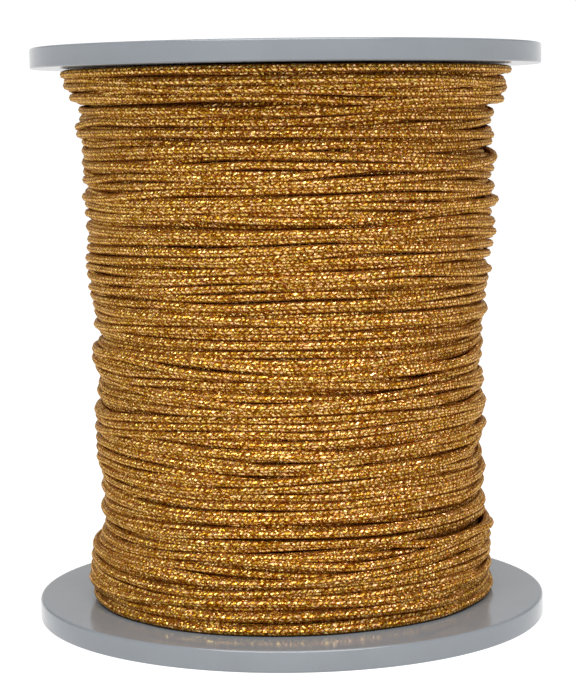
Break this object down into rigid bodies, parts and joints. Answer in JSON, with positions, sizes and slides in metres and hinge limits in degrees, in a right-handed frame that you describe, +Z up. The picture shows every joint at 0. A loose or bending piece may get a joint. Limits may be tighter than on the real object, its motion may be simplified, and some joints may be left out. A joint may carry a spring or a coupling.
{
  "type": "decorative cord on a flanged spool",
  "caption": "Gold metallic braided cord wound in many layers on a grey plastic spool with two round flanges and an open bore.",
  "frame": {"origin": "centre of the underside of the spool's lower flange, on the spool's axis", "axes": "+Z up along the spool's axis, the spool standing on its lower flange; -Y faces the camera"},
  "size_m": [0.1, 0.1, 0.112],
  "materials": {
    "grey_plastic": "semi-gloss moulded",
    "gold_cord": "braided metallic film yarn"
  },
  "bodies": {
    "root": {"spool": "grey_plastic", "wound_cord": "gold_cord"}
  },
  "joints": []
}
